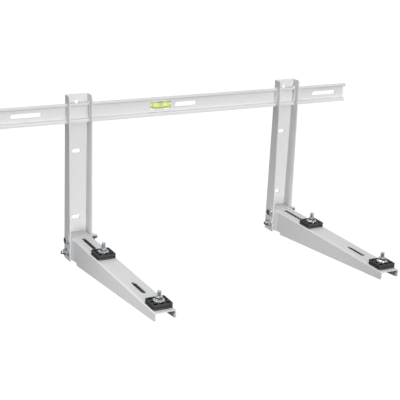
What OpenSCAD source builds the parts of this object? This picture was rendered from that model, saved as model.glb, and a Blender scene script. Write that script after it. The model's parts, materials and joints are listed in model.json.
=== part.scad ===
// Wall bracket for an air conditioner outdoor unit: a slotted crossbar with a
// spirit level, two channel uprights that it passes through, and two tapered
// arms with rubber feet.
// Millimetres. X runs along the crossbar, -Y points away from the wall, +Z is up.
// The origin lies in the wall plane, at the centre of the four cross slots that
// the uprights are screwed through.

/* [Sheet metal] */
// Thickness of all the steel sheet
sheet = 2; // [1.5:0.5:2.5]
// Radius on the inside of every fold
fold_r = 1; // [0.5:0.5:1.5]

/* [Crossbar] */
// Length of the crossbar
bar_len = 800; // [760:10:1000]
// Height of the crossbar over both raised bands
bar_h = 40; // [38:1:44]
// Height of the crossbar's middle above the centre of the cross slots
bar_z = 150; // [140:1:152]
// Depth of the crossbar from its back to the front of the bands
bar_d = 10; // [9:0.5:12]
// Height of each raised band
band_h = 7; // [6:0.5:8]
// Height of the wall slots
bar_slot_h = 9; // [7:0.5:11]
// Length of the wall slot near each end
end_slot_len = 62; // [40:1:70]
// Distance from the end of the bar to the middle of the end slot
end_slot_x = 53; // [45:1:60]
// Length of the wall slot in the middle
mid_slot_len = 50; // [30:1:60]

/* [Spirit level] */
// Distance from the middle of the bar to the middle of the level
level_x = 60; // [55:1:75]
// Length of the level's clear block
level_len = 42.6; // [38:0.2:46]
// Height of the block's top above the middle of the crossbar
level_top = 9.5; // [8.5:0.5:9.5]
// Height of the level's clear block
level_h = 14; // [12:0.5:14]
// Depth of the level's clear block
level_d = 9; // [8:0.5:9]
// Diameter of the bore that holds the liquid
level_bore = 8; // [6:0.5:8]
// Depth of the gap below the block, on both sides of its ledge
level_gap = 4.4; // [3:0.2:4.6]
// Width of the ledge that the block stands on
ledge_w = 20; // [14:1:24]
// Clearance at each end of the block
level_fit = 0.2; // [0.1:0.05:0.3]
// Radius along the block's long edges
block_r = 1; // [0.5:0.25:1.5]
// Thickness of the block's solid end, past the bore
level_end = 3; // [2:0.5:4]
// Length of the plug that closes the bore
plug_len = 4; // [3:0.5:6]
// Diameter of the air bubble
bubble_d = 4.4; // [3.6:0.2:4.8]
// Length of the air bubble
bubble_len = 9; // [7:0.5:11]
// Liquid left between the bubble and the top of the bore
bubble_gap = 0.4; // [0.2:0.1:0.6]

/* [Uprights] */
// Distance between the middles of the uprights
upright_gap = 484; // [400:2:560]
// Width over the flanges
upright_w = 49; // [46:1:54]
// Height of each upright
upright_h = 340; // [330:1:400]
// Height of the upright's top above the middle of the crossbar
upright_top = 36; // [34:1:44]
// Depth of the flanges at the top
flange_top = 24; // [22:0.5:28]
// Depth of the flanges at the bottom
flange_bottom = 33.5; // [32:0.5:40]
// Radius of the front corner at the top of each flange
flange_corner = 5; // [3:0.5:6]
// Clearance above and below the crossbar where it passes through the flanges
window_fit = 1; // [0.5:0.25:1.5]
// Clearance in front of the crossbar where it passes through the flanges
window_front_fit = 1.5; // [0.5:0.25:2]
// Radius of the front corners of that window
window_r = 2; // [1:0.5:3]
// Diameter of the round wall hole
wall_hole_d = 9; // [7:0.5:9]
// Height of the round wall hole above the middle of the crossbar
wall_hole_z = 20; // [20:0.5:24]
// Length of the two cross slots
wall_slot_len = 18; // [12:1:24]
// Height of the two cross slots
wall_slot_h = 8; // [6:0.5:10]
// Distance between the upper and the lower cross slot
wall_slot_gap = 140; // [110:2:150]

/* [Arms] */
// Height of the arm's top above the lower end of the upright
arm_rise = 51.5; // [50:0.5:60]
// Reach of the arms from the wall
arm_reach = 418; // [416:1:500]
// Depth of the joggle, by which each side wall steps in in front of the upright
joggle_depth = 1.55; // [1:0.05:2.5]
// Height of the arm at the wall end
arm_h_wall = 50; // [48:0.5:51]
// Height of the arm just behind the step in its lower edge
arm_h_behind = 44.6; // [42:0.2:46]
// Height of the arm just in front of the step
arm_h_step = 49.8; // [48:0.2:52]
// Height of the arm at the free end
arm_h_end = 16; // [14:0.5:24]
// Distance from the wall to the step in the lower edge
arm_step_y = 60; // [56:1:66]
// Run of that step along the arm
step_run = 2; // [1:0.5:4]
// Size of the cut-off lower corner at the free end
arm_corner = 3; // [2:0.5:5]
// Distance from the wall to the start of the joggle in the side walls
joggle_y = 38; // [36:0.5:40]
// Length of the joggle along the arm
joggle_len = 8; // [6:0.5:10]
// Clearance on each side between the arm and the upright
arm_fit = 0.15; // [0.1:0.05:0.3]
// Clearance between the back of the arm and the folds of the upright
arm_back_fit = 0.2; // [0.1:0.1:1]
// Width of the slots in the top of the arm
arm_slot_w = 9; // [8.6:0.2:10]
// Distance from the wall to the start of the rear slot
rear_slot_y = 43; // [42:1:50]
// How far the rear slot runs past the rear foot bolt
rear_slot_past = 8.5; // [6:0.5:12]
// Distance from the free end to the end of the front slot
front_slot_end = 83; // [60:1:90]
// Length of the front slot
front_slot_len = 53; // [30:1:60]
// Length of the short slot below the front foot
foot_slot_len = 26; // [14:1:30]

/* [Rubber feet] */
// Distance from the free end of the arm to the front foot
front_foot_end = 27; // [24:0.5:36]
// Distance between the rear and the front foot
foot_gap = 244.5; // [200:0.5:270]
// Side of each square foot
foot_size = 38; // [34:0.5:40]
// Height of each foot
foot_h = 9.5; // [8:0.5:14]
// Corner radius of each foot
foot_r = 4; // [2:0.5:6]
// Size of a pocket across the arm
pocket_x = 8.5; // [6:0.5:9]
// Size of a pocket along the arm
pocket_y = 6.5; // [5:0.5:8]
// Spacing of the pockets both ways
pocket_pitch = 12; // [11.5:0.5:13]
// Depth of the pockets
pocket_depth = 5; // [2:0.5:6]
// Corner radius of each pocket
pocket_r = 1; // [0.5:0.25:1.5]
// Height of the groove round the side
groove_h = 1.5; // [1:0.5:2]
// Depth of the groove round the side
groove_d = 1; // [0.5:0.25:1.5]
// Clearance round the bolt in each foot
foot_hole_fit = 0.2; // [0.1:0.05:0.4]

/* [Fasteners] */
// Diameter of the bolts
bolt_d = 8; // [6:1:8]
// Diameter of the bolt holes
bolt_hole_d = 9; // [8.4:0.2:10]
// Chamfer on the end of each bolt
bolt_chamfer = 0.8; // [0.4:0.1:1]
// Width across the flats of heads and nuts
hex_af = 13; // [12:0.5:14]
// Angle at which the corners of heads and nuts are turned off
hex_turn = 30; // [20:5:35]
// Height of a bolt head
head_h = 5.3; // [4.5:0.1:6]
// Height of a nut
nut_h = 6.5; // [5:0.5:7]
// Length of a foot bolt above its nut
foot_stub = 10.4; // [6:0.2:24]
// Diameter of the washer on a foot
foot_washer_d = 21; // [18:0.5:24]
// Length of a joint bolt past its nut
joint_stub = 6.3; // [3:0.1:10]
// Diameter of a joint washer
joint_washer_d = 16; // [15:0.5:18]
// Diameter of the hole in every washer
washer_hole_d = 8.4; // [8.4:0.1:9]
// Thickness of every washer
washer_h = 1.6; // [1.2:0.2:2]
// Distance from the wall to the joint bolts
joint_y = 22; // [20:0.5:23]
// Drop from the top of the arm to the upper joint bolt
joint_drop = 8; // [7.5:0.5:9]
// Spacing of the two joint bolts
joint_gap = 25; // [20:0.5:27]

/* [Hidden] */
$fn = 64;
// Overlap that cutting tools have past a face
over = 1;
// Outer radius of every fold
fold_out = fold_r + sheet;

// Crossbar: back face, half height of its open recess, front of its bands
bar_back = sheet;
recess_half = bar_h / 2 - band_h;
bar_front = bar_back + bar_d;

// Level: lower edge of its window
window_bottom = level_top - level_h - level_gap;
level_y = bar_back + level_d / 2;
level_z = bar_z + level_top - level_h / 2;

// Upright: ends, side profile and the window for the crossbar
upright_top_z = bar_z + upright_top;
upright_bottom_z = upright_top_z - upright_h;
upright_x = upright_gap / 2;
flange_slope = (flange_bottom - flange_top) / upright_h;
window_depth = bar_front + window_front_fit;

// Arm: outer half widths behind and in front of the joggle
arm_top = upright_bottom_z + arm_rise;
arm_back = fold_out + arm_back_fit;
rear_half = upright_w / 2 - sheet - arm_fit;
front_half = rear_half - joggle_depth;
joggle_angle = atan(joggle_depth / joggle_len);
joggle_end = joggle_y + joggle_len;

// Feet and slots, as distances from the wall
front_foot_y = arm_reach - front_foot_end;
rear_foot_y = front_foot_y - foot_gap;
foot_slot_y = front_foot_y - foot_slot_len / 2;
rear_slot_len = rear_foot_y + rear_slot_past - rear_slot_y;
front_slot_y = arm_reach - front_slot_end - front_slot_len;
arm_slope = (arm_h_step - arm_h_end) / (arm_reach - arm_step_y);

// Bolts, without their heads
foot_bolt_len = sheet + foot_h + washer_h + nut_h + foot_stub;
joint_bolt_len = upright_w + 2 * washer_h + nut_h + joint_stub;

// Joint bolts
joint_z = [arm_top - joint_drop, arm_top - joint_drop - joint_gap];
flange_x = upright_w / 2;
foot_ys = [rear_foot_y, front_foot_y];
// Half width of a head or nut over its corners
hex_corner = hex_af / cos(30) / 2;

steel_paint = [0.86, 0.86, 0.87];
zinc = [0.72, 0.74, 0.77];
rubber = [0.10, 0.10, 0.11];
clear_green = [0.86, 0.95, 0.45];
liquid_green = [0.75, 0.92, 0.20];

// Extrudes a drawing of Y and Z along X, centred on the YZ plane
module along_x(length) {
    translate([-length / 2, 0, 0])
        rotate([90, 0, 90])
            linear_extrude(height = length)
                children();
}

// Extrudes a drawing of X and Z from the wall plane outwards to -Y
module along_y(length) {
    rotate([90, 0, 0])
        linear_extrude(height = length)
            children();
}

// A slot with round ends, centred, its long side along the first axis
module slot_shape(length, width) {
    square([length - width, width], center = true);
    for (side = [-1, 1])
        translate([side * (length - width) / 2, 0])
            circle(d = width);
}

// A centred rectangle with round corners
module round_rect(size_1, size_2, r) {
    square([size_1 - 2 * r, size_2], center = true);
    square([size_1, size_2 - 2 * r], center = true);
    for (i = [-1, 1], j = [-1, 1])
        translate([i * (size_1 / 2 - r), j * (size_2 / 2 - r)])
            circle(r = r);
}

// The quarter of a fold that lies between the -first and +second axes
module fold_shape() {
    intersection() {
        difference() {
            circle(r = fold_out);
            circle(r = fold_r);
        }
        translate([-fold_out, 0])
            square(fold_out);
    }
}

// Upper half of the crossbar's section: first axis is the depth from its back
module bar_half_section() {
    square([sheet, recess_half + sheet - fold_out]);
    translate([fold_out, recess_half + sheet - fold_out])
        fold_shape();
    translate([fold_out, recess_half])
        square([bar_d - 2 * fold_out, sheet]);
    translate([bar_d - fold_out, recess_half + fold_out])
        rotate(180)
            fold_shape();
    translate([bar_d - sheet, recess_half + fold_out])
        square([sheet, band_h - fold_out]);
}

// The opening for the level: a rectangle with a ledge standing in its lower edge
module level_window() {
    difference() {
        translate([-level_len / 2 - level_fit, window_bottom])
            square([level_len + 2 * level_fit, level_top - window_bottom]);
        translate([-ledge_w / 2, window_bottom - over])
            square([ledge_w, level_gap + over]);
    }
}

// Slotted hat section: a recessed web between two raised bands
module crossbar() {
    color(steel_paint)
        difference() {
            along_x(bar_len)
                translate([-bar_back, bar_z])
                    mirror([1, 0])
                        for (half = [0, 1])
                            mirror([0, half])
                                bar_half_section();
            translate([0, -bar_back + over, bar_z])
                along_y(sheet + 2 * over) {
                    for (side = [-1, 1])
                        translate([side * (bar_len / 2 - end_slot_x), 0])
                            slot_shape(end_slot_len, bar_slot_h);
                    slot_shape(mid_slot_len, bar_slot_h);
                    translate([-level_x, 0])
                        level_window();
                }
        }
}

// A cylinder along X from the level's centre
module level_tube(d, from, to) {
    translate([from, 0, 0])
        rotate([0, 90, 0])
            cylinder(d = d, h = to - from);
}

module at_level() {
    translate([-level_x, -level_y, level_z])
        children();
}

// Clear block, bored from one end
module level_block() {
    color(clear_green)
        at_level()
            difference() {
                along_x(level_len)
                    round_rect(level_d, level_h, block_r);
                level_tube(level_bore, -level_len / 2 + level_end, level_len / 2 + over);
            }
}

// Plug that closes the bore
module level_plug() {
    color(rubber)
        at_level()
            level_tube(level_bore, level_len / 2 - plug_len, level_len / 2);
}

// Liquid with the air bubble at its top
module level_liquid() {
    color(liquid_green)
        at_level()
            difference() {
                level_tube(level_bore, -level_len / 2 + level_end, level_len / 2 - plug_len);
                translate([0, 0, (level_bore - bubble_d) / 2 - bubble_gap]) {
                    level_tube(bubble_d, -bubble_len / 2 + bubble_d / 2, bubble_len / 2 - bubble_d / 2);
                    for (side = [-1, 1])
                        translate([side * (bubble_len - bubble_d) / 2, 0, 0])
                            sphere(d = bubble_d);
                }
            }
}

// Section of an upright: an open channel with its web on the wall
module upright_section() {
    translate([-upright_w / 2 + fold_out, -sheet])
        square([upright_w - 2 * fold_out, sheet]);
    for (side = [0, 1])
        mirror([side, 0]) {
            translate([-upright_w / 2, -flange_bottom - over])
                square([sheet, flange_bottom + over - fold_out]);
            translate([-upright_w / 2 + fold_out, -fold_out])
                fold_shape();
        }
}

// Side view of an upright: flanges that deepen downwards, a round corner on top
module upright_side() {
    lean = sqrt(1 + flange_slope * flange_slope);
    corner_y = -flange_top - flange_slope * flange_corner + flange_corner * lean;
    corner_z = upright_top_z - flange_corner;
    polygon([
        [over, upright_bottom_z],
        [over, upright_top_z],
        [corner_y, upright_top_z],
        [corner_y, corner_z],
        [corner_y - flange_corner / lean, corner_z + flange_corner * flange_slope / lean],
        [-flange_bottom, upright_bottom_z]
    ]);
    translate([corner_y, corner_z])
        circle(r = flange_corner);
}

// One upright, centred on X
module upright() {
    difference() {
        intersection() {
            translate([0, 0, upright_bottom_z])
                linear_extrude(height = upright_h)
                    upright_section();
            along_x(upright_w + 2 * over)
                upright_side();
        }
        // window for the crossbar, cut down to the front face of the web
        along_x(upright_w + 2 * over) {
            translate([-sheet - (window_depth - sheet) / 2, bar_z])
                round_rect(window_depth - sheet, bar_h + 2 * window_fit, window_r);
            translate([-sheet - window_r, bar_z - bar_h / 2 - window_fit])
                square([window_r, bar_h + 2 * window_fit]);
        }
        // wall hole and cross slots
        translate([0, over, 0])
            along_y(sheet + 2 * over) {
                translate([0, bar_z + wall_hole_z])
                    circle(d = wall_hole_d);
                for (side = [-1, 1])
                    translate([0, side * wall_slot_gap / 2])
                        slot_shape(wall_slot_len, wall_slot_h);
            }
        // joint bolt holes through both flanges
        for (z = joint_z)
            translate([-flange_x - over, -joint_y, z])
                rotate([0, 90, 0])
                    cylinder(d = bolt_hole_d, h = upright_w + 2 * over);
    }
}

// A filled section set in from its faces: outer face at X = 0, top at Z = 0,
// and the edge between them rounded like a fold
module edge_section(width, inset) {
    depth = max(arm_h_wall, arm_h_step) + over;
    translate([-width, -depth])
        square([width - fold_out, depth - inset]);
    translate([-width, -depth])
        square([width - inset, depth - fold_out]);
    translate([-fold_out, -fold_out])
        circle(r = fold_out - inset);
}

// A straight run of the arm, filled, from the wall plane to its full reach
module straight_run(half, inset) {
    along_y(arm_reach + over)
        for (side = [0, 1])
            mirror([side, 0])
                translate([half, 0])
                    edge_section(half + over, inset);
}

// The run of the joggle's sloped side wall, filled. It starts behind the wall
// plane and is wide enough to reach past the other side wall
module sloped_run(inset) {
    behind = 2 * joggle_y;
    width = 4 * rear_half;
    translate([rear_half, -joggle_y, 0])
        rotate([0, 0, -joggle_angle])
            translate([0, behind, 0])
                along_y(behind + width)
                    edge_section(width, inset);
}

// The arm's filled form: where the outline turns inwards the runs are
// intersected, and where it turns straight again they are joined
module arm_form(inset) {
    intersection() {
        straight_run(rear_half, inset);
        sloped_run(inset);
        mirror([1, 0, 0])
            sloped_run(inset);
    }
    straight_run(front_half, inset);
}

// Side view of the arm: a tapered lower edge with a step in front of the upright
module arm_profile() {
    polygon([
        [-arm_back, over],
        [-arm_back, -arm_h_wall],
        [-arm_step_y + step_run / 2, -arm_h_behind],
        [-arm_step_y - step_run / 2, -arm_h_step],
        [-arm_reach + arm_corner, -arm_h_end - arm_slope * arm_corner],
        [-arm_reach, -arm_h_end + arm_corner],
        [-arm_reach, over]
    ]);
}

// A slot along the arm that starts at a distance from the wall
module arm_slot(from, length) {
    translate([0, -from - length / 2])
        rotate(90)
            slot_shape(length, arm_slot_w);
}

// One arm, centred on X: an upturned channel, open below and at its free end
module arm() {
    translate([0, 0, arm_top])
        difference() {
            intersection() {
                difference() {
                    arm_form(0);
                    arm_form(sheet);
                }
                along_x(2 * rear_half + 2 * over)
                    arm_profile();
            }
            // slots in the top
            translate([0, 0, -sheet - over])
                linear_extrude(height = sheet + 2 * over) {
                    arm_slot(rear_slot_y, rear_slot_len);
                    arm_slot(front_slot_y, front_slot_len);
                    arm_slot(foot_slot_y, foot_slot_len);
                }
            // joint bolt holes through both side walls
            for (i = [0, 1])
                translate([-rear_half - over, -joint_y, -joint_drop - i * joint_gap])
                    rotate([0, 90, 0])
                        cylinder(d = bolt_hole_d, h = 2 * rear_half + 2 * over);
        }
}

// Rubber foot: bolt hole, eight pockets round it and a groove round the side
module foot() {
    color(rubber)
        difference() {
            linear_extrude(height = foot_h)
                round_rect(foot_size, foot_size, foot_r);
            translate([0, 0, foot_h - pocket_depth])
                linear_extrude(height = pocket_depth + over)
                    for (i = [-1, 0, 1], j = [-1, 0, 1])
                        if (i != 0 || j != 0)
                            translate([i * pocket_pitch, j * pocket_pitch])
                                round_rect(pocket_x, pocket_y, pocket_r);
            translate([0, 0, -over])
                cylinder(d = bolt_d + 2 * foot_hole_fit, h = foot_h + 2 * over);
            translate([0, 0, (foot_h - groove_h) / 2])
                linear_extrude(height = groove_h)
                    difference() {
                        square(foot_size + 2 * over, center = true);
                        round_rect(foot_size - 2 * groove_d, foot_size - 2 * groove_d, foot_r - groove_d);
                    }
        }
}

// Hexagon along Z whose corners are turned off at the top, or at both ends
module hex_body(height, both) {
    rise = (hex_corner - hex_af / 2) * tan(hex_turn);
    intersection() {
        cylinder(r = hex_corner, h = height, $fn = 6);
        rotate_extrude()
            polygon([
                [0, 0],
                [both ? hex_af / 2 : hex_corner, 0],
                [hex_corner, rise],
                [hex_corner, height - rise],
                [hex_af / 2, height],
                [0, height]
            ]);
    }
}

// Bolt with its head below Z = 0 and its shank along +Z
module bolt(length) {
    mirror([0, 0, 1])
        hex_body(head_h, false);
    cylinder(d = bolt_d, h = length - bolt_chamfer);
    translate([0, 0, length - bolt_chamfer])
        cylinder(d1 = bolt_d, d2 = bolt_d - 2 * bolt_chamfer, h = bolt_chamfer);
}

module nut() {
    difference() {
        hex_body(nut_h, true);
        translate([0, 0, -over])
            cylinder(d = bolt_d, h = nut_h + 2 * over);
    }
}

module washer(d) {
    difference() {
        cylinder(d = d, h = washer_h);
        translate([0, 0, -over])
            cylinder(d = washer_hole_d, h = washer_h + 2 * over);
    }
}

// Places a child at one upright, side is -1 for the left and 1 for the right
module at_side(side) {
    translate([side * upright_x, 0, 0])
        children();
}

// Places a child on the top of the arm at both feet
module at_feet(side, z) {
    for (y = foot_ys)
        at_side(side)
            translate([0, -y, arm_top + z])
                children();
}

// Places a child on a flange's outer face at each joint bolt, pointing outwards.
// The heads are on the left for the upper bolt and on the right for the lower one
module at_joint(side, index, outward) {
    at_side(side)
        translate([outward * flange_x, -joint_y, joint_z[index]])
            rotate([0, outward * 90, 0])
                children();
}

module foot_bolts(side) {
    color(zinc)
        at_feet(side, -sheet)
            bolt(foot_bolt_len);
}

module foot_washers(side) {
    color(zinc)
        at_feet(side, foot_h)
            washer(foot_washer_d);
}

module foot_nuts(side) {
    color(zinc)
        at_feet(side, foot_h + washer_h)
            nut();
}

module joint_bolts(side) {
    color(zinc)
        for (index = [0, 1])
            at_joint(side, index, index == 0 ? -1 : 1)
                translate([0, 0, washer_h])
                    rotate([180, 0, 0])
                        bolt(joint_bolt_len);
}

module joint_washers(side) {
    color(zinc)
        for (index = [0, 1], outward = [-1, 1])
            at_joint(side, index, outward)
                washer(joint_washer_d);
}

module joint_nuts(side) {
    color(zinc)
        for (index = [0, 1])
            at_joint(side, index, index == 0 ? 1 : -1)
                translate([0, 0, washer_h])
                    nut();
}

module upright_at(side) {
    color(steel_paint)
        at_side(side)
            upright();
}

module arm_at(side) {
    color(steel_paint)
        at_side(side)
            arm();
}

module foot_at(side, y) {
    at_side(side)
        translate([0, -y, arm_top])
            foot();
}

crossbar();
level_block();
level_plug();
level_liquid();
upright_at(-1);  // left_upright
upright_at(1);  // right_upright
arm_at(-1);  // left_arm
arm_at(1);  // right_arm
foot_at(-1, rear_foot_y);  // left_rear_foot
foot_at(-1, front_foot_y);  // left_front_foot
foot_at(1, rear_foot_y);  // right_rear_foot
foot_at(1, front_foot_y);  // right_front_foot
foot_bolts(-1);  // left_foot_bolts
foot_bolts(1);  // right_foot_bolts
foot_washers(-1);  // left_foot_washers
foot_washers(1);  // right_foot_washers
foot_nuts(-1);  // left_foot_nuts
foot_nuts(1);  // right_foot_nuts
joint_bolts(-1);  // left_joint_bolts
joint_bolts(1);  // right_joint_bolts
joint_washers(-1);  // left_joint_washers
joint_washers(1);  // right_joint_washers
joint_nuts(-1);  // left_joint_nuts
joint_nuts(1);  // right_joint_nuts
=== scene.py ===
# %% [markdown]
# # A wall bracket for an air conditioner's outdoor unit
#
# Two folded steel channels stand on a wall, a slotted crossbar with a spirit
# level passes through them, and two tapered arms carry rubber feet on bolts.
# The exact solids come from the CAD model. This lesson dresses them: a camera,
# a soft studio light, node materials, and the detail that the solids leave
# plain, such as threads, rounded rubber and the rings of the level.

# %% Load the frame
import json
import math

import bmesh
import bpy
from mathutils import Matrix, Vector


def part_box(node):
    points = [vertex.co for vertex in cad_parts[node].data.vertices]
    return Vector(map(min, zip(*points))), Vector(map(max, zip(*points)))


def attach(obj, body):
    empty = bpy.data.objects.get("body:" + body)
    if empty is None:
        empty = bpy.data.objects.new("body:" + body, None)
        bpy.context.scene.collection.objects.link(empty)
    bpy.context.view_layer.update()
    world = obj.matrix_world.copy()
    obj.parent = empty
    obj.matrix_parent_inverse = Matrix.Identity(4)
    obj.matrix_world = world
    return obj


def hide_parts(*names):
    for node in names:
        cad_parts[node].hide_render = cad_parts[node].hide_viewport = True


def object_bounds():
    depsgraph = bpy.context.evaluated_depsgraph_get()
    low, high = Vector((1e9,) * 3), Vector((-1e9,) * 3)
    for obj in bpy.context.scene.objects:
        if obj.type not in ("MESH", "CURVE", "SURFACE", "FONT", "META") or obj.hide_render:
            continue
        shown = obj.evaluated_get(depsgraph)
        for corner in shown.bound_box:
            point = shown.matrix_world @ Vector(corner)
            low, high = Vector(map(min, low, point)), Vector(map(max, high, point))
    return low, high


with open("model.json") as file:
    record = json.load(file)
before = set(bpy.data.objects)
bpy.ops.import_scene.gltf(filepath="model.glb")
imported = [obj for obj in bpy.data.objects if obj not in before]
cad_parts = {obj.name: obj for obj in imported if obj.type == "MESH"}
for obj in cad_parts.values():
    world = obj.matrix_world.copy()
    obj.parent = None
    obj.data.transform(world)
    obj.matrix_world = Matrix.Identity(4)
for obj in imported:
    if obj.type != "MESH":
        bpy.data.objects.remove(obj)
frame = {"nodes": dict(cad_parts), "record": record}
cad_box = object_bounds()
nodes = frame["nodes"]
print("nodes:", len(nodes), "box:", [round(v, 4) for corner in cad_box for v in corner])

# %% [markdown]
# ## The camera
#
# The photograph looks down on the bracket from the left. A camera can be set by
# trial, or by angles: a turn about the vertical, a tilt down and a small roll
# give its axes, and a target point with a distance gives its place. The angles
# are easier to correct one at a time, so they are written out here.

# %% Camera
TURN, TILT, ROLL = (math.radians(a) for a in (-29.10, 18.73, 2.82))
FRAME = 400
SENSOR = 36.0
FOCAL = 1025 / FRAME
DISTANCE = 2.0939
TARGET = Vector((0.0, -0.100, 0.020))
TARGET_IN_FRAME = Vector((4.8, 23.8)) / FRAME


def camera_axes(turn, tilt, roll):
    """The camera's right, up and forward directions."""
    level = Vector((-math.sin(turn), math.cos(turn), 0.0))
    forward = level * math.cos(tilt) - Vector((0.0, 0.0, math.sin(tilt)))
    right = Vector((math.cos(turn), math.sin(turn), 0.0))
    up = right.cross(forward)
    c, s = math.cos(roll), math.sin(roll)
    return right * c + up * s, up * c - right * s, forward


right, up, forward = camera_axes(TURN, TILT, ROLL)
place = TARGET - forward * DISTANCE
place -= (right * TARGET_IN_FRAME.x + up * TARGET_IN_FRAME.y) / FOCAL * DISTANCE
camera = bpy.data.objects.new("camera", bpy.data.cameras.new("camera"))
bpy.context.scene.collection.objects.link(camera)
camera.data.sensor_width = SENSOR
camera.data.lens = SENSOR * FOCAL
camera.data.clip_start = 0.05
camera.data.clip_end = 200.0
axes = Matrix((right, up, -forward)).transposed().to_4x4()
camera.matrix_world = Matrix.Translation(place) @ axes
bpy.context.scene.camera = camera
print("camera at", [round(v, 3) for v in place], "lens", round(camera.data.lens, 1))

# %% [markdown]
# ## Helpers for modelling
#
# The operators act on whatever is selected, and the loaded nodes start out
# selected. So every piece starts with nothing selected, and a small helper adds
# a primitive and hands it back. Faces are then picked in code by their place.


# %% Modelling helpers
def nothing_selected():
    """Leaves object mode with nothing selected."""
    if bpy.context.object and bpy.context.object.mode != "OBJECT":
        bpy.ops.object.mode_set(mode="OBJECT")
    bpy.ops.object.select_all(action="DESELECT")


def only(obj):
    """Selects one object and makes it active."""
    nothing_selected()
    obj.select_set(True)
    bpy.context.view_layer.objects.active = obj
    return obj


def added(name):
    """Names the primitive that was just added."""
    obj = bpy.context.object
    obj.name = obj.data.name = name
    return obj


def pick(obj, test, kind="faces"):
    """In edit mode, selects the faces, edges or vertices that pass a test on their middle."""
    bpy.ops.mesh.select_mode(type={"faces": "FACE", "edges": "EDGE", "verts": "VERT"}[kind])
    bpy.ops.mesh.select_all(action="DESELECT")
    mesh = bmesh.from_edit_mesh(obj.data)
    for item in getattr(mesh, kind):
        points = [item.co] if kind == "verts" else [v.co for v in item.verts]
        middle = sum(points, Vector()) / len(points)
        if test(item, middle):
            item.select_set(True)
    mesh.select_flush_mode()
    bmesh.update_edit_mesh(obj.data)


def apply_place(obj):
    """Moves the object's place into its mesh."""
    only(obj)
    bpy.ops.object.transform_apply(location=True, rotation=True, scale=True)
    return obj


def with_modifier(obj, kind, **settings):
    """Adds a modifier, sets it and applies it."""
    only(obj)
    modifier = obj.modifiers.new(kind.lower(), kind)
    for key, value in settings.items():
        setattr(modifier, key, value)
    bpy.ops.object.modifier_apply(modifier=modifier.name)
    return obj


def copied(obj, name, matrix):
    """A copy with its own mesh, put in place by a matrix that goes into the mesh."""
    twin = obj.copy()
    twin.data = obj.data.copy()
    bpy.context.scene.collection.objects.link(twin)
    twin.name = twin.data.name = name
    twin.data.transform(matrix)
    twin.data.update()
    return twin


def joined(objs, name):
    """Joins objects into the first one."""
    nothing_selected()
    for obj in objs:
        obj.select_set(True)
    bpy.context.view_layer.objects.active = objs[0]
    bpy.ops.object.join()
    return added(name)


def removed(obj):
    """Deletes an object that was only a pattern or a cutter."""
    bpy.data.objects.remove(obj, do_unlink=True)


def centre_of(node):
    """The middle of a CAD node's box."""
    low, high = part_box(node)
    return (Vector(low) + Vector(high)) / 2


print("helpers ready")

# %% [markdown]
# ## Floor and light
#
# The photograph is a cut-out on white: no shadow on the ground, bright fronts,
# slightly darker tops, and dark insides where little light comes back up. A
# real white floor would light the insides as brightly as the fronts. So this
# one is white for the camera only, and a dim grey for every other ray.

# %% Floor
FLOOR_SIZE = 60.0
FLOOR_Z = cad_box[0][2] - 0.75
FLOOR_GREY = 0.06
nothing_selected()
bpy.ops.mesh.primitive_plane_add(size=FLOOR_SIZE, location=(0, 0, FLOOR_Z))
floor = apply_place(added("floor"))
floor_paint = bpy.data.materials.new("floor_paint")
floor_paint.use_nodes = True
floor_tree = floor_paint.node_tree
floor_shader = floor_tree.nodes["Principled BSDF"]
floor_shader.inputs["Base Color"].default_value = (FLOOR_GREY, FLOOR_GREY, FLOOR_GREY, 1)
floor_shader.inputs["Roughness"].default_value = 1.0
floor_shader.inputs["Specular IOR Level"].default_value = 0.0
floor_shader.inputs["Emission Strength"].default_value = 1.0
floor_path = floor_tree.nodes.new("ShaderNodeLightPath")
floor_tree.links.new(floor_path.outputs["Is Camera Ray"], floor_shader.inputs["Emission Color"])
floor.data.materials.append(floor_paint)
print("floor at z =", round(FLOOR_Z, 3))

# %% [markdown]
# The main light stands far off in front and only just above the bracket. So the
# upper band throws a short shadow into the crossbar's recess, the shelf that
# faces up stays dimmer than the bands, and both sides of an upright are darker
# than its face. A second lamp lifts the sides that face left. The sky is
# brighter overhead than near the horizon: that lights the tops, and gives the
# bolts something to reflect.

# %% Light
HORIZON = 0.50
OVERHEAD = 0.98
SKY_WHITE = (0.99, 0.99, 1.0, 1)
world = bpy.data.worlds.new("studio")
bpy.context.scene.world = world
world.use_nodes = True
sky = world.node_tree
sky_direction = sky.nodes.new("ShaderNodeTexCoord")
sky_split = sky.nodes.new("ShaderNodeSeparateXYZ")
sky_range = sky.nodes.new("ShaderNodeMapRange")
sky_range.inputs["To Min"].default_value = HORIZON
sky_range.inputs["To Max"].default_value = OVERHEAD
sky.links.new(sky_direction.outputs["Generated"], sky_split.inputs["Vector"])
sky.links.new(sky_split.outputs["Z"], sky_range.inputs["Value"])
sky.links.new(sky_range.outputs["Result"], sky.nodes["Background"].inputs["Strength"])
sky.nodes["Background"].inputs["Color"].default_value = SKY_WHITE


def sun(name, strength, towards, spread):
    """A sun lamp that shines from a direction, softened over an angle in degrees."""
    lamp = bpy.data.objects.new(name, bpy.data.lights.new(name, "SUN"))
    bpy.context.scene.collection.objects.link(lamp)
    lamp.data.energy = strength
    lamp.data.angle = math.radians(spread)
    lamp.rotation_euler = (-Vector(towards)).to_track_quat("-Z", "Y").to_euler()


def softbox(name, power, place, target, size, beam):
    """A square lamp aimed at a target, with a grid that narrows its beam to an angle."""
    lamp = bpy.data.objects.new(name, bpy.data.lights.new(name, "AREA"))
    bpy.context.scene.collection.objects.link(lamp)
    lamp.data.energy = power
    lamp.data.size = size
    lamp.data.spread = math.radians(beam)
    lamp.location = place
    lamp.rotation_euler = (Vector(target) - Vector(place)).to_track_quat("-Z", "Y").to_euler()


sun("front_light", strength=1.96, towards=(-0.05, -0.95, 0.10), spread=12)
softbox("side_light", power=0.42, place=(-2.4, -0.75, 0.45), target=(0.0, -0.27, -0.14), size=0.35, beam=20)
bpy.context.scene.view_settings.view_transform = "Standard"

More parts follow.
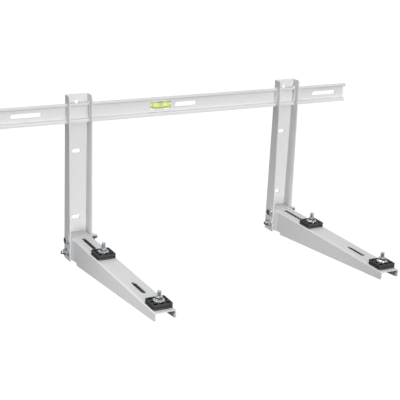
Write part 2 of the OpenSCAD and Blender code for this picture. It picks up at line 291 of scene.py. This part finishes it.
# %% [markdown]
# ## Materials
#
# Each finish is one node group that puts out colour, roughness and height, and
# a plain shader that takes them. The groups read Object coordinates, so a
# pattern stays on its piece from every side.


# %% Group helpers
LOOK = (
    ("Color", "NodeSocketColor"),
    ("Roughness", "NodeSocketFloat"),
    ("Height", "NodeSocketFloat"),
)


def new_group(name, inputs, outputs=LOOK):
    """A node group with named inputs, and the outputs of a look unless others are given."""
    group = bpy.data.node_groups.new(name, "ShaderNodeTree")
    for label, kind, value in inputs:
        socket = group.interface.new_socket(label, in_out="INPUT", socket_type=kind)
        socket.default_value = value
    for label, kind in outputs:
        group.interface.new_socket(label, in_out="OUTPUT", socket_type=kind)
    start = group.nodes.new("NodeGroupInput")
    end = group.nodes.new("NodeGroupOutput")
    return group, start, end


def noise(group, scale, detail=2.0, roughness=0.5):
    """Noise on Object coordinates. Scale is in lumps per metre."""
    where = group.nodes.new("ShaderNodeTexCoord")
    made = group.nodes.new("ShaderNodeTexNoise")
    made.inputs["Detail"].default_value = detail
    made.inputs["Roughness"].default_value = roughness
    group.links.new(where.outputs["Object"], made.inputs["Vector"])
    if isinstance(scale, float):
        made.inputs["Scale"].default_value = scale
    else:
        group.links.new(scale, made.inputs["Scale"])
    return made.outputs["Fac"]


def between(group, value, low, high):
    """Spreads a value from 0 to 1 over low to high."""
    made = group.nodes.new("ShaderNodeMapRange")
    group.links.new(value, made.inputs["Value"])
    made.inputs["To Min"].default_value = low
    made.inputs["To Max"].default_value = high
    return made.outputs["Result"]


def mixed(group, factor, first, second):
    """Mixes two colours by a factor."""
    made = group.nodes.new("ShaderNodeMix")
    made.data_type = "RGBA"
    group.links.new(factor, made.inputs["Factor"])
    for key, colour in (("A", first), ("B", second)):
        socket = [s for s in made.inputs if s.name == key and s.type == "RGBA"][0]
        if isinstance(colour, tuple):
            socket.default_value = colour
        else:
            group.links.new(colour, socket)
    return [s for s in made.outputs if s.type == "RGBA"][0]


def sum_of(group, first, second, weight):
    """The first value plus a share of the second."""
    made = group.nodes.new("ShaderNodeMath")
    made.operation = "MULTIPLY_ADD"
    group.links.new(second, made.inputs[0])
    made.inputs[1].default_value = weight
    group.links.new(first, made.inputs[2])
    return made.outputs[0]


def finish_from(name, group, bump_mm, settings, shader_settings):
    """A material whose shader takes a group's colour, roughness and height."""
    material = bpy.data.materials.new(name)
    material.use_nodes = True
    tree = material.node_tree
    shader = tree.nodes["Principled BSDF"]
    look = tree.nodes.new("ShaderNodeGroup")
    look.node_tree = group
    for key, value in settings.items():
        look.inputs[key].default_value = value
    bump = tree.nodes.new("ShaderNodeBump")
    bump.inputs["Distance"].default_value = bump_mm / 1000
    tree.links.new(look.outputs["Color"], shader.inputs["Base Color"])
    tree.links.new(look.outputs["Roughness"], shader.inputs["Roughness"])
    tree.links.new(look.outputs["Height"], bump.inputs["Height"])
    tree.links.new(bump.outputs["Normal"], shader.inputs["Normal"])
    for key, value in shader_settings.items():
        shader.inputs[key].default_value = value
    return material


print("group helpers ready")

# %% [markdown]
# Painted steel could be one flat grey, but a powder coat has a faint orange peel
# and a slightly uneven grey, and that is what catches the light on a long flat
# band.

# %% Powder coat
coat_group, coat_in, coat_out = new_group("powder_coat", [
    ("Paint", "NodeSocketColor", (0.72, 0.72, 0.725, 1)),
    ("Thin Paint", "NodeSocketColor", (0.69, 0.69, 0.695, 1)),
    ("Peel Scale", "NodeSocketFloat", 700.0),
])
cloud = noise(coat_group, 14.0, 3.0)
peel = noise(coat_group, coat_in.outputs["Peel Scale"], 1.0)
grit = noise(coat_group, 3800.0, 1.0)
coat_colour = mixed(coat_group, cloud, coat_in.outputs["Paint"], coat_in.outputs["Thin Paint"])
coat_group.links.new(coat_colour, coat_out.inputs["Color"])
coat_group.links.new(between(coat_group, cloud, 0.40, 0.52), coat_out.inputs["Roughness"])
coat_group.links.new(sum_of(coat_group, peel, grit, 0.25), coat_out.inputs["Height"])
powder_coat = finish_from("powder_coat", coat_group, 0.03, {}, {
    "Specular IOR Level": 0.45, "Coat Weight": 0.12, "Coat Roughness": 0.3})
print("made", powder_coat.name)

# %% [markdown]
# Paint also runs thin and round over a cut edge. Rounding every edge of the
# sheets in the mesh would cost many faces for less than half a millimetre. The
# Bevel node bends only the light there, and the exact sheets stay as they are.

# %% Soft painted edges
EDGE_R = 0.0004
paint_tree = powder_coat.node_tree
soft_edge = paint_tree.nodes.new("ShaderNodeBevel")
soft_edge.samples = 4
soft_edge.inputs["Radius"].default_value = EDGE_R
paint_bump = [n for n in paint_tree.nodes if n.type == "BUMP"][0]
paint_tree.links.new(soft_edge.outputs["Normal"], paint_bump.inputs["Normal"])
print("edges look rounded by", EDGE_R * 1000, "mm")

# %% [markdown]
# Zinc plating is bright but never quite even: it is slightly blue, clouded by
# the bath and dulled in spots. One cloudy noise moves colour and roughness
# together, and a faint fine bump breaks up the reflections.

# %% Zinc plating
zinc_group, zinc_in, zinc_out = new_group("zinc_plating", [
    ("Bright", "NodeSocketColor", (0.87, 0.91, 0.92, 1)),
    ("Dull", "NodeSocketColor", (0.47, 0.51, 0.53, 1)),
])
bath = noise(zinc_group, 420.0, 3.0, 0.6)
fine = noise(zinc_group, 1900.0, 2.0)
zinc_colour = mixed(zinc_group, bath, zinc_in.outputs["Bright"], zinc_in.outputs["Dull"])
zinc_group.links.new(zinc_colour, zinc_out.inputs["Color"])
zinc_group.links.new(between(zinc_group, bath, 0.10, 0.30), zinc_out.inputs["Roughness"])
zinc_group.links.new(fine, zinc_out.inputs["Height"])
zinc = finish_from("zinc_plating", zinc_group, 0.01, {}, {"Metallic": 0.92})
print("made", zinc.name)

# %% [markdown]
# Two finishes paint shade where a piece is hollow: the pockets of the rubber feet
# and the bubble in the level. One mask serves both. It is 1 where nothing of the
# same piece is near and falls to 0 where its own walls close in, as shade does.

# %% Painted shade mask
mask_group, mask_in, mask_out = new_group("painted_shade_mask", [
    ("Reach", "NodeSocketFloat", 0.008),
    ("Hollow", "NodeSocketFloat", 0.45),
    ("Open", "NodeSocketFloat", 0.85),
], [("Mask", "NodeSocketFloat")])
near_walls = mask_group.nodes.new("ShaderNodeAmbientOcclusion")
near_walls.only_local = True
mask_range = mask_group.nodes.new("ShaderNodeMapRange")
mask_group.links.new(mask_in.outputs["Reach"], near_walls.inputs["Distance"])
mask_group.links.new(near_walls.outputs["AO"], mask_range.inputs["Value"])
mask_group.links.new(mask_in.outputs["Hollow"], mask_range.inputs["From Min"])
mask_group.links.new(mask_in.outputs["Open"], mask_range.inputs["From Max"])
mask_group.links.new(mask_range.outputs["Result"], mask_out.inputs["Mask"])


def painted_shade_mask(tree, reach, hollow, open_level):
    """The painted shade mask in a tree: how far it reaches, and the levels that give 0 and 1."""
    made = tree.nodes.new("ShaderNodeGroup")
    made.node_tree = mask_group
    for key, value in (("Reach", reach), ("Hollow", hollow), ("Open", open_level)):
        made.inputs[key].default_value = value
    return made.outputs["Mask"]


print("made", mask_group.name)

# %% [markdown]
# Moulded rubber is nearly black, with a fine grain from the mould and a dusty
# bloom that makes some patches a little greyer and duller. In the pockets the mask
# paints a near-black shade over the bloom, so they read darker than the outside.

# %% Rubber
rubber_group, rubber_in, rubber_out = new_group("moulded_rubber", [
    ("Black", "NodeSocketColor", (0.026, 0.026, 0.028, 1)),
    ("Bloom", "NodeSocketColor", (0.055, 0.055, 0.057, 1)),
    ("Pocket Shade", "NodeSocketColor", (0.002, 0.002, 0.002, 1)),
])
bloom = noise(rubber_group, 160.0, 4.0, 0.6)
grain = noise(rubber_group, 2600.0, 2.0)
unshaded_part = painted_shade_mask(rubber_group, reach=0.008, hollow=0.45, open_level=0.85)
skin = mixed(rubber_group, bloom, rubber_in.outputs["Black"], rubber_in.outputs["Bloom"])
# Painted shade: where the mask is low, inside the pockets, the colour turns near black.
rubber_colour = mixed(rubber_group, unshaded_part, rubber_in.outputs["Pocket Shade"], skin)
rubber_group.links.new(rubber_colour, rubber_out.inputs["Color"])
rubber_group.links.new(between(rubber_group, bloom, 0.50, 0.75), rubber_out.inputs["Roughness"])
rubber_group.links.new(grain, rubber_out.inputs["Height"])
rubber = finish_from("moulded_rubber", rubber_group, 0.04, {}, {"Specular IOR Level": 0.35})
print("made", rubber.name)

# %% [markdown]
# The level is a clear block around a bore with a bright yellow-green liquid. The
# block takes a tinted transmission, and the liquid a stronger tint with a little
# painted glow that makes it brighter than the lamps alone would. The plug is the
# same plastic with no light through it.

# %% Level materials
tint_group, tint_in, tint_out = new_group("tinted_plastic", [
    ("Tint", "NodeSocketColor", (0.97, 1.0, 0.80, 1)),
    ("Deep Tint", "NodeSocketColor", (0.94, 0.99, 0.70, 1)),
])
swirl = noise(tint_group, 240.0, 2.0)
tint_colour = mixed(tint_group, swirl, tint_in.outputs["Tint"], tint_in.outputs["Deep Tint"])
tint_group.links.new(tint_colour, tint_out.inputs["Color"])
tint_group.links.new(between(tint_group, swirl, 0.03, 0.10), tint_out.inputs["Roughness"])
tint_group.links.new(swirl, tint_out.inputs["Height"])
block_plastic = finish_from("clear_block", tint_group, 0.01, {}, {
    "Transmission Weight": 0.75, "IOR": 1.49})
# The liquid's emission is a painted glow: it gives off light though it is no lamp.
liquid = finish_from("level_liquid", tint_group, 0.0, {
    "Tint": (0.98, 1.0, 0.42, 1), "Deep Tint": (0.90, 1.0, 0.28, 1),
}, {
    "Transmission Weight": 0.85, "IOR": 1.40, "Emission Strength": 0.40,
})
plug_plastic = finish_from("plug_plastic", tint_group, 0.01, {
    "Tint": (0.96, 1.0, 0.78, 1), "Deep Tint": (0.92, 0.98, 0.70, 1),
}, {"IOR": 1.49})
print("made", block_plastic.name, liquid.name, plug_plastic.name)

# %% [markdown]
# A bubble would be lost in the liquid's painted glow. So the mask takes the glow
# away from the bubble's wall and paints a dark shade there in place of the tint,
# and leaves glow and tint everywhere else.

# %% Shade round the bubble
# The colour of the liquid's painted glow.
PAINTED_GLOW = (0.85, 1.0, 0.30, 1)
NO_GLOW = (0.0, 0.0, 0.0, 1)
BUBBLE_SHADE = (0.02, 0.03, 0.005, 1)
liquid_tree = liquid.node_tree
liquid_shader = liquid_tree.nodes["Principled BSDF"]
off_bubble = painted_shade_mask(liquid_tree, reach=0.005, hollow=0.4, open_level=0.9)
full_tint = liquid_shader.inputs["Base Color"].links[0].from_socket
# Painted shade: the bubble's wall takes a near-black colour instead of the tint.
liquid_tint_and_shade = mixed(liquid_tree, off_bubble, BUBBLE_SHADE, full_tint)
# Painted glow, taken away at the bubble's wall.
liquid_painted_glow = mixed(liquid_tree, off_bubble, NO_GLOW, PAINTED_GLOW)
liquid_tree.links.new(liquid_tint_and_shade, liquid_shader.inputs["Base Color"])
liquid_tree.links.new(liquid_painted_glow, liquid_shader.inputs["Emission Color"])
print("bubble shade", BUBBLE_SHADE[:3])

# %% [markdown]
# The folded sheets stay as the CAD made them and only take the paint. Every node
# gets its finish here, also those that a finer piece will stand for.

# %% Materials on the CAD nodes
FINISH = {"painted_steel": powder_coat, "zinc": zinc, "rubber": rubber,
          "clear_acrylic": block_plastic, "level_liquid": liquid, "plug_plastic": plug_plastic}
for part in frame["record"]["subparts"]:
    obj = nodes[part["node"]]
    if not obj.data.materials:
        obj.data.materials.append(None)
    for i in range(len(obj.data.materials)):
        obj.data.materials[i] = FINISH[part["material_slot"]]
print("dressed", len(nodes), "nodes")


def dressed(obj, slot, *replaced):
    """Gives a finished piece its material and its body, and hides the nodes that it stands for."""
    obj.data.materials.clear()
    obj.data.materials.append(FINISH[slot])
    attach(obj, "root")
    if replaced:
        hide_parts(*replaced)
    size_mm = [round(v * 1000, 1) for v in obj.dimensions]
    print(obj.name, len(obj.data.polygons), "faces,", size_mm, "mm")
    return obj


# %% [markdown]
# ## Hexagon heads and nuts
#
# A hexagon head is turned before it is pressed, so its six corners are cut off
# by a cone and each flat ends in a curved edge. The cone could be faked with a
# bevel, but then the edges would stay straight. Here a hexagon is intersected
# with a turned blank, the way the real form comes about.

# %% Turned blank and hexagon
MM = 0.001
HEX_AF = 13 * MM
HEX_CORNER = HEX_AF / math.sqrt(3)
HEAD_H = 5.3 * MM
NUT_H = 6.5 * MM
SPARE = 0.3 * MM
NEAR = MM / 100
BLANK_R = HEX_CORNER + SPARE
FACE_R = HEX_AF / 2 - 0.1 * MM
CORNER_CUT = (BLANK_R - FACE_R) * math.tan(math.radians(30))


def edit(obj):
    """Opens one object in edit mode, in vertex mode and with everything selected."""
    only(obj)
    bpy.ops.object.mode_set(mode="EDIT")
    bpy.ops.mesh.select_mode(type="VERT")
    bpy.ops.mesh.select_all(action="SELECT")
    return obj


def done(obj):
    """Closes edit mode, with the faces turned outwards."""
    bpy.ops.mesh.select_all(action="SELECT")
    bpy.ops.mesh.normals_make_consistent(inside=False)
    bpy.ops.object.mode_set(mode="OBJECT")
    return obj


def cylinder(name, radius, low, high, sides=48):
    """An upright cylinder between two heights, its place in its mesh."""
    nothing_selected()
    bpy.ops.mesh.primitive_cylinder_add(vertices=sides, radius=radius, depth=high - low,
                                        location=(0, 0, (low + high) / 2))
    return apply_place(added(name))


def boolean(obj, other, operation):
    """Combines two closed forms, and deletes the second."""
    with_modifier(obj, "BOOLEAN", object=other, operation=operation, solver="EXACT")
    removed(other)
    return obj


def turned_blank(height, both_ends):
    """A round blank over the hexagon's corners, cut to a cone at its top or at both ends."""
    low = CORNER_CUT if both_ends else -SPARE
    blank = edit(cylinder("blank", BLANK_R, low, height - CORNER_CUT, 64))
    ends = [(height - CORNER_CUT, 1)] + ([(low, -1)] if both_ends else [])
    for level, way in ends:
        pick(blank, lambda face, middle: abs(middle.z - level) < NEAR and abs(face.normal.z) > 0.9)
        bpy.ops.mesh.extrude_region_move(TRANSFORM_OT_translate={"value": (0, 0, way * CORNER_CUT)})
        bpy.ops.transform.resize(value=(FACE_R / BLANK_R, FACE_R / BLANK_R, 1))
    return done(blank)


def hexagon(name, height, both_ends):
    """A hexagon head or nut body from Z = 0 up, its corners turned off."""
    low = -SPARE if both_ends else 0
    body = cylinder(name, HEX_CORNER, low, height + SPARE, 6)
    body.data.transform(Matrix.Rotation(math.radians(30), 4, "Z"))
    return boolean(body, turned_blank(height, both_ends), "INTERSECT")


print("hexagon corner cut", round(CORNER_CUT / MM, 2), "mm")

# %% [markdown]
# ## Threads
#
# A metric thread repeats one small outline every turn: root, flank, crest,
# flank. The outline is drawn by extruding one vertex from point to point, the
# Screw modifier winds it up, and two cuts trim it to length. A bump texture
# would be cheaper, but it leaves the silhouette of the stud smooth.

# %% Thread
BOLT_R = 4 * MM
PITCH = 1.25 * MM
ROOT_R = BOLT_R - 0.70 * MM
CREST_R = BOLT_R - 0.04 * MM
ROOT_FLAT = 0.20 * MM
CREST_FLAT = 0.16 * MM
TIP_CUT = 0.8 * MM
STEPS = 28
FOOT_PLAIN = 3 * MM
JOINT_THREAD = 24 * MM


def outline(name, points):
    """A chain of edges through points, drawn by extruding one vertex."""
    nothing_selected()
    bpy.ops.mesh.primitive_plane_add(size=MM)
    chain = edit(added(name))
    bpy.ops.mesh.merge(type="CENTER")
    here = Vector(points[0])
    bpy.ops.transform.translate(value=here)
    for point in points[1:]:
        bpy.ops.mesh.extrude_region_move(TRANSFORM_OT_translate={"value": Vector(point) - here})
        here = Vector(point)
    bpy.ops.object.mode_set(mode="OBJECT")
    return chain


def thread(name, low, high):
    """A threaded rod between two heights, with a tapered tip."""
    flank = (PITCH - ROOT_FLAT - CREST_FLAT) / 2
    z = low - PITCH - SPARE / 2
    points = []
    for radius, rise in ((ROOT_R, 0), (ROOT_R, ROOT_FLAT), (CREST_R, flank),
                         (CREST_R, CREST_FLAT), (ROOT_R, flank)):
        z += rise
        points.append((radius, 0, z))
    turns = math.ceil((high - low) / PITCH) + 2
    rod = with_modifier(outline(name, points), "SCREW", screw_offset=PITCH, iterations=turns,
                        steps=STEPS, render_steps=STEPS, use_merge_vertices=True,
                        merge_threshold=MM / 1000)
    edit(rod)
    bpy.ops.mesh.remove_doubles(threshold=MM / 1000)
    bpy.ops.mesh.bisect(plane_co=(0, 0, low), plane_no=(0, 0, 1), use_fill=True, clear_inner=True)
    bpy.ops.mesh.select_all(action="SELECT")
    bpy.ops.mesh.bisect(plane_co=(0, 0, high + SPARE), plane_no=(0, 0, 1), use_fill=True,
                        clear_outer=True)
    done(rod)
    blank = edit(cylinder("tip", BOLT_R, low - MM, high - TIP_CUT))
    pick(blank, lambda face, middle: middle.z > high - TIP_CUT - NEAR)
    bpy.ops.mesh.extrude_region_move(TRANSFORM_OT_translate={"value": (0, 0, TIP_CUT)})
    narrower = (BOLT_R - TIP_CUT) / BOLT_R
    bpy.ops.transform.resize(value=(narrower, narrower, 1))
    done(blank)
    return boolean(rod, blank, "INTERSECT")


def bolt(name, length, threaded):
    """A bolt with its head below Z = 0 and its shank along +Z, threaded at its end.

    The small gaps that the cuts leave, of up to eight sides, are closed at the end.
    """
    shank = thread(name, length - threaded, length)
    plain = cylinder("plain", BOLT_R - 0.01 * MM, -HEAD_H / 2, length - threaded + SPARE)
    boolean(shank, plain, "UNION")
    head = hexagon("head", HEAD_H, False)
    head.data.transform(Matrix.Rotation(math.pi, 4, "X"))
    edit(boolean(shank, head, "UNION"))
    bpy.ops.mesh.fill_holes(sides=8)
    done(shank)
    bpy.ops.object.shade_smooth_by_angle(angle=math.radians(25))
    return shank


foot_low, foot_high = (Vector(c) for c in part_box("left_foot_bolts"))
FOOT_BOLT_LEN = foot_high.z - foot_low.z - HEAD_H
joint_tip = Vector(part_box("left_joint_bolts")[1])
washer_low, washer_high = (Vector(c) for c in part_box("left_joint_washers"))
JOINT_BOLT_LEN = joint_tip.x - washer_low.x
foot_bolt = bolt("foot_bolt", FOOT_BOLT_LEN, FOOT_BOLT_LEN - FOOT_PLAIN)
joint_bolt = bolt("joint_bolt", JOINT_BOLT_LEN, JOINT_THREAD)
print("bolts", round(FOOT_BOLT_LEN / MM, 1), "and", round(JOINT_BOLT_LEN / MM, 1), "mm")

# %% [markdown]
# A nut is the same hexagon with both ends turned, a bore and a small countersink
# at each end, so that a thin bright ring shows round the thread.

# %% Nut
BORE_R = BOLT_R + 0.02 * MM
SINK = 0.5 * MM


def double_sink(name, height):
    """The cutter of a nut's bore, wider at both ends."""
    cutter = edit(cylinder(name, BORE_R, SINK, height - SINK))
    deep = SINK + SPARE
    wider = (BORE_R + deep) / BORE_R
    for level, way in ((height - SINK, 1), (SINK, -1)):
        pick(cutter, lambda face, middle: abs(middle.z - level) < NEAR and abs(face.normal.z) > 0.9)
        bpy.ops.mesh.extrude_region_move(TRANSFORM_OT_translate={"value": (0, 0, way * deep)})
        bpy.ops.transform.resize(value=(wider, wider, 1))
    return done(cutter)


nut = boolean(hexagon("nut", NUT_H, True), double_sink("bore", NUT_H), "DIFFERENCE")
only(nut)
bpy.ops.object.shade_smooth_by_angle(angle=math.radians(20))
print("nut", len(nut.data.polygons), "faces")

# %% [markdown]
# A washer is punched from sheet and tumbled with others in the plating bath, so
# its rims are slightly round. A flat ring is made by extruding a circle inwards,
# it is raised to its thickness, and a bevel rounds the rims.

# %% Washers
WASHER_H = 1.6 * MM
WASHER_BORE_R = 4.2 * MM
FOOT_WASHER_R = 10.5 * MM
JOINT_WASHER_R = 8 * MM
WASHER_RIM = 0.3 * MM


def rounded(obj, width, segments):
    """Rounds every sharp edge, and shades the soft ones smooth."""
    with_modifier(obj, "BEVEL", width=width, segments=segments,
                  limit_method="ANGLE", angle_limit=math.radians(50))
    bpy.ops.object.shade_smooth_by_angle(angle=math.radians(35))
    return obj


def washer(name, radius):
    """A flat washer from Z = 0 up, with rounded rims."""
    nothing_selected()
    bpy.ops.mesh.primitive_circle_add(vertices=64, radius=radius, fill_type="NOTHING")
    ring = edit(added(name))
    bpy.ops.mesh.extrude_region_move()
    bpy.ops.transform.resize(value=(WASHER_BORE_R / radius, WASHER_BORE_R / radius, 1))
    bpy.ops.mesh.select_all(action="SELECT")
    bpy.ops.mesh.extrude_region_move(TRANSFORM_OT_translate={"value": (0, 0, WASHER_H)})
    done(ring)
    return rounded(ring, WASHER_RIM, 3)


foot_washer = washer("foot_washer", FOOT_WASHER_R)
joint_washer = washer("joint_washer", JOINT_WASHER_R)
print("washers", len(foot_washer.data.polygons), "faces each")

# %% [markdown]
# ## Placing the fasteners
#
# Each pattern is copied to its seats. The seats come from the boxes of the CAD
# nodes, so nothing is fitted by eye. Foot bolts stand up through arm, foot and
# washer, and the two joint bolts of a side go in from opposite sides.

# %% Seats
FOOT_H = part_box("left_front_foot")[1][2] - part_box("left_front_foot")[0][2]
FOOT_MIDDLE = Vector((0, 0, FOOT_H / 2))
feet = {side: [centre_of(f"{side}_{end}_foot") - FOOT_MIDDLE for end in ("rear", "front")]
        for side in ("left", "right")}
SHEET = feet["left"][0].z - foot_low.z - HEAD_H


def joints(side):
    """The two joint seats of one side: middle of the upright, and the way each head points."""
    low, high = (Vector(c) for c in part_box(f"{side}_joint_washers"))
    middle = (low + high) / 2
    return [(Vector((middle.x, middle.y, high.z - JOINT_WASHER_R)), -1),
            (Vector((middle.x, middle.y, low.z + JOINT_WASHER_R)), 1)]


def along(way):
    """Lays a piece that points up along X, to the left (-1) or to the right (1)."""
    return Matrix.Rotation(way * math.pi / 2, 4, "Y")


HALF_GRIP = (washer_high.x - washer_low.x) / 2
for side in ("left", "right"):
    kinds = ("foot_bolts", "foot_washers", "foot_nuts", "joint_bolts", "joint_washers", "joint_nuts")
    sets = {kind: [] for kind in kinds}
    for seat in feet[side]:
        below = Matrix.Translation(seat - Vector((0, 0, SHEET)))
        top = Matrix.Translation(seat + Vector((0, 0, FOOT_H)))
        above = Matrix.Translation(seat + Vector((0, 0, FOOT_H + WASHER_H)))
        sets["foot_bolts"].append(copied(foot_bolt, "bolt", below))
        sets["foot_washers"].append(copied(foot_washer, "washer", top))
        sets["foot_nuts"].append(copied(nut, "nut", above))
    for seat, head_way in joints(side):
        reach = Vector((head_way * HALF_GRIP, 0, 0))
        inwards = along(-head_way)
        at_head = Matrix.Translation(seat + reach) @ inwards
        at_nut = Matrix.Translation(seat - reach) @ inwards
        sets["joint_bolts"].append(copied(joint_bolt, "bolt", at_head))
        sets["joint_nuts"].append(copied(nut, "nut", at_nut))
        for way in (-1, 1):
            inner = Matrix.Translation(seat + Vector((way * (HALF_GRIP - WASHER_H), 0, 0)))
            sets["joint_washers"].append(copied(joint_washer, "washer", inner @ along(way)))
    for kind, pieces in sets.items():
        dressed(joined(pieces, f"{side}_{kind}_turned"), "zinc", f"{side}_{kind}")
for pattern in (foot_bolt, joint_bolt, nut, foot_washer, joint_washer):
    removed(pattern)

# %% [markdown]
# ## Rubber feet
#
# A foot is one moulding: a square pad with round corners, eight pockets that let
# it give under the unit, a groove round the side and a hole for the bolt. Its
# rims are rounded, because rubber never leaves a mould with a sharp edge. The
# pad is shaped in edit mode, and the pockets are cut by one joined cutter.

# %% Pad
FOOT_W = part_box("left_front_foot")[1][0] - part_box("left_front_foot")[0][0]
FOOT_CORNER = 4 * MM
RIM = 0.8 * MM
GROOVE_H = 1.5 * MM
GROOVE_D = 1 * MM
FOOT_BORE_R = BOLT_R + 0.2 * MM


def block(name, size, low):
    """A box of a size, standing on a height, its place in its mesh."""
    nothing_selected()
    bpy.ops.mesh.primitive_cube_add(size=1, location=(0, 0, low + size[2] / 2), scale=size)
    return apply_place(added(name))


def round_upright_edges(obj, radius, segments):
    """In edit mode, rounds the edges that run along Z."""
    pick(obj, lambda edge, middle: abs(edge.verts[0].co.z - edge.verts[1].co.z) > MM / 10, "edges")
    bpy.ops.mesh.bevel(offset=radius, offset_type="OFFSET", segments=segments, affect="EDGES")


pad = edit(block("pad", (FOOT_W, FOOT_W, FOOT_H), 0))
round_upright_edges(pad, FOOT_CORNER, 8)
for level in (0, FOOT_H):
    pick(pad, lambda edge, middle: all(abs(v.co.z - level) < NEAR for v in edge.verts), "edges")
    bpy.ops.mesh.bevel(offset=RIM, offset_type="OFFSET", segments=4, affect="EDGES")
for way in (-1, 1):
    bpy.ops.mesh.select_all(action="SELECT")
    bpy.ops.mesh.bisect(plane_co=(0, 0, FOOT_H / 2 + way * GROOVE_H / 2), plane_no=(0, 0, 1))
pick(pad, lambda face, middle: abs(middle.z - FOOT_H / 2) < GROOVE_H / 2 - NEAR)
bpy.ops.mesh.extrude_region_shrink_fatten(
    TRANSFORM_OT_shrink_fatten={"value": -GROOVE_D, "use_even_offset": True})
done(pad)
print("pad", len(pad.data.polygons), "faces")

# %% [markdown]
# The eight pockets stand in three rows of three, with the bolt in the middle.
# One cutter is rounded and copied to the eight places.

# %% Pockets
POCKET = Vector((8.5, 6.5, 5)) * MM
POCKET_PITCH = 12 * MM
POCKET_CORNER = 1 * MM
SOFT = 0.25 * MM

cutter = edit(block("pocket", POCKET + Vector((0, 0, MM)), FOOT_H - POCKET.z))
round_upright_edges(cutter, POCKET_CORNER, 4)
pick(cutter, lambda face, middle: face.normal.z < -0.9)
bpy.ops.mesh.region_to_loop()
bpy.ops.mesh.bevel(offset=POCKET_CORNER / 2, offset_type="OFFSET", segments=3, affect="EDGES")
done(cutter)
places = [(i, j) for i in (-1, 0, 1) for j in (-1, 0, 1) if (i, j) != (0, 0)]
pockets = []
for i, j in places:
    pockets.append(copied(cutter, "pocket", Matrix.Translation((i * POCKET_PITCH, j * POCKET_PITCH, 0))))
removed(cutter)
boolean(pad, joined(pockets, "pockets"), "DIFFERENCE")
boolean(pad, cylinder("bolt_hole", FOOT_BORE_R, -MM, FOOT_H + MM), "DIFFERENCE")
rounded(pad, SOFT, 2)
for side in ("left", "right"):
    for end, seat in zip(("rear", "front"), feet[side]):
        foot = copied(pad, f"{side}_{end}_foot_moulded", Matrix.Translation(seat))
        dressed(foot, "rubber", f"{side}_{end}_foot")
removed(pad)

# %% [markdown]
# ## The level
#
# The level is a polished clear block with a bore. The bore is filled with a
# bright liquid and an air bubble, and a plug closes it. The liquid is made a
# trace wider than the bore: two clear surfaces in the same place would flicker
# against each other.

# %% Level block
level_low, level_high = (Vector(c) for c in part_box("level_block"))
liquid_low, liquid_high = (Vector(c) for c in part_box("level_liquid"))
LEVEL = level_high - level_low
level_middle = (level_low + level_high) / 2
level_bore_r = (liquid_high.z - liquid_low.z) / 2
TRACE = 0.03 * MM
BLOCK_RIM = 0.8 * MM


def lying(name, radius, low, high, sides=48):
    """A cylinder along X at the level's height, between two places along X."""
    tube = cylinder(name, radius, low, high, sides)
    tube.data.transform(Matrix.Rotation(math.pi / 2, 4, "Y"))
    tube.data.transform(Matrix.Translation((0, level_middle.y, level_middle.z)))
    return tube


clear = edit(block("level_block_polished", LEVEL, -LEVEL.z / 2))
bpy.ops.mesh.bevel(offset=BLOCK_RIM, offset_type="OFFSET", segments=4, affect="EDGES")
done(clear)
clear.data.transform(Matrix.Translation(level_middle))
boolean(clear, lying("level_bore", level_bore_r, liquid_low.x, level_high.x + MM), "DIFFERENCE")
only(clear)
bpy.ops.object.shade_smooth_by_angle(angle=math.radians(35))
dressed(clear, "clear_acrylic", "level_block")

# %% [markdown]
# The bubble is a space in the liquid, not a piece. It rests against the top of
# the bore, so a capsule that stands a little out of the liquid is cut away. A
# ball is drawn out to that capsule by moving its two halves apart.

# %% Liquid, bubble and plug
BUBBLE_R = 3.0 * MM
BUBBLE_LEN = 9 * MM
BUBBLE_RISE = 0.4 * MM
PLUG_RIM = 0.3 * MM
vial = lying("level_liquid_filled", level_bore_r + TRACE, liquid_low.x, liquid_high.x, 64)
bubble_middle = level_middle + Vector((0, 0, level_bore_r + BUBBLE_RISE - BUBBLE_R))
nothing_selected()
bpy.ops.mesh.primitive_uv_sphere_add(segments=32, ring_count=16, radius=BUBBLE_R,
                                     location=bubble_middle, rotation=(0, math.pi / 2, 0))
capsule = edit(apply_place(added("bubble")))
for way in (-1, 1):
    pick(capsule, lambda vert, middle: way * (middle.x - bubble_middle.x) > NEAR, "verts")
    bpy.ops.transform.translate(value=(way * (BUBBLE_LEN / 2 - BUBBLE_R), 0, 0))
done(capsule)
boolean(vial, capsule, "DIFFERENCE")
only(vial)
bpy.ops.object.shade_smooth_by_angle(angle=math.radians(35))
dressed(vial, "level_liquid", "level_liquid")
stopper = lying("level_plug_pressed", level_bore_r + TRACE, liquid_high.x, level_high.x)
rounded(stopper, PLUG_RIM, 3)
dressed(stopper, "plug_plastic", "level_plug")
